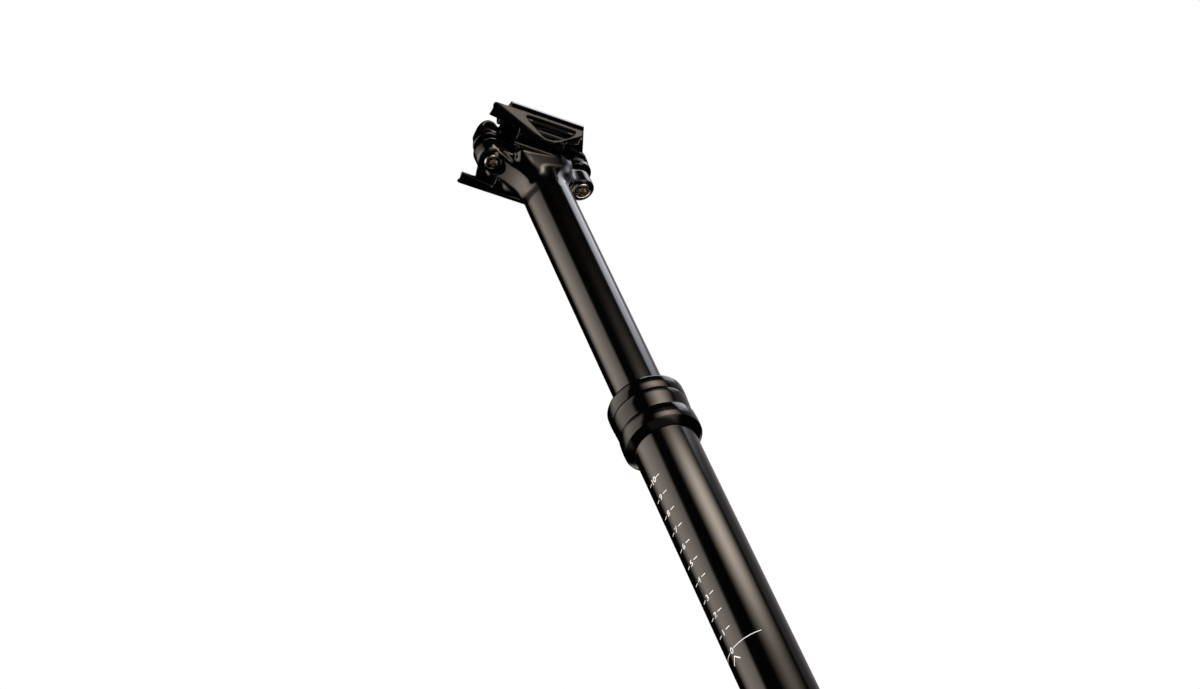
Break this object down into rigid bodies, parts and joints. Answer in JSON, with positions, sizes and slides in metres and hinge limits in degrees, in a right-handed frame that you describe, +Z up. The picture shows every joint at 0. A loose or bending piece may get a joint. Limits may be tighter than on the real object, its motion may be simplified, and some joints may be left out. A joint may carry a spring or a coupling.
{
  "type": "dropper seatpost",
  "caption": "Telescopic bicycle seatpost: a saddle clamp on a sliding shaft that drops into an outer tube, with a gas cartridge and a cable release.",
  "frame": {"origin": "on the post's axis at the zero mark of the printed scale, inside the length that the frame clamps", "axes": "+X forward, +Y left, +Z up along the post to the saddle"},
  "size_m": [0.0654, 0.055, 0.4647],
  "materials": {
    "black_anodised": "gloss black anodised",
    "seal_rubber": "matt",
    "bushing": "satin",
    "brass": "turned",
    "steel": "plated",
    "bare_aluminium": "machined"
  },
  "bodies": {
    "outer": {"outer_tube": "black_anodised", "collar_base": "black_anodised", "collar": "black_anodised", "collar_cap": "black_anodised", "wiper_seal": "seal_rubber", "shaft_seal": "seal_rubber", "upper_bushing": "bushing", "base_plug": "bare_aluminium", "bottom_buffer": "seal_rubber", "rod_nut": "steel", "cartridge_rod": "steel", "piston": "brass", "piston_seal": "seal_rubber", "lever_pivot_pin": "steel"},
    "lever": {"release_lever": "bare_aluminium"},
    "valve": {"valve_pin": "steel"},
    "shaft": {"shaft_head": "black_anodised", "anti_rotation_keys": "brass", "lower_bushing": "bushing", "cartridge_cylinder": "bare_aluminium", "cartridge_gland": "bare_aluminium", "rod_seal": "seal_rubber", "cartridge_cap": "bare_aluminium", "lock_ring": "bare_aluminium", "clamp_bolts": "steel", "bolt_washers": "steel"},
    "float": {"floating_piston": "brass", "floating_piston_seal": "seal_rubber"},
    "clamp": {"lower_cradle": "black_anodised", "upper_clamp": "black_anodised"},
    "rear_nut": {"rear_nut": "steel"},
    "front_nut": {"front_nut": "steel"}
  },
  "joints": [
    {"name": "post_slide", "type": "slide", "parent": "outer", "child": "shaft", "axis": [0, 0, 1], "range_m": [-0.125, 0], "stiffness_N_per_m": 200, "springref_m": 0.5},
    {"name": "lever_swing", "type": "hinge", "parent": "outer", "child": "lever", "pos_m": [0.0045, 0, -0.1], "axis": [0, 1, 0], "range_deg": [0, 25]},
    {"name": "valve_lift", "type": "slide", "parent": "outer", "child": "valve", "axis": [0, 0, 1], "range_m": [0, 0.00199], "stiffness_N_per_m": 800, "springref_m": -0.001},
    {"name": "float_shift", "type": "slide", "parent": "shaft", "child": "float", "axis": [0, 0, 1], "range_m": [0, 0.036]},
    {"name": "clamp_tilt", "type": "hinge", "parent": "shaft", "child": "clamp", "pos_m": [0, 0, 0.3366], "axis": [0, 1, 0], "range_deg": [-5, 5]},
    {"name": "rear_nut_turn", "type": "hinge", "parent": "clamp", "child": "rear_nut", "pos_m": [-0.02072, 0, 0.34441], "axis": [0, 1, 0], "range_deg": [-5, 5]},
    {"name": "front_nut_turn", "type": "hinge", "parent": "clamp", "child": "front_nut", "pos_m": [0.02628, 0, 0.32921], "axis": [0, 1, 0], "range_deg": [-5, 5]}
  ],
  "couplings": [
    {"joint": "lever_swing", "follows": "valve_lift", "rad_per_m": 218.69},
    {"joint": "float_shift", "follows": "post_slide", "ratio": -0.28444},
    {"joint": "rear_nut_turn", "follows": "clamp_tilt", "ratio": -1},
    {"joint": "front_nut_turn", "follows": "clamp_tilt", "ratio": -1}
  ]
}
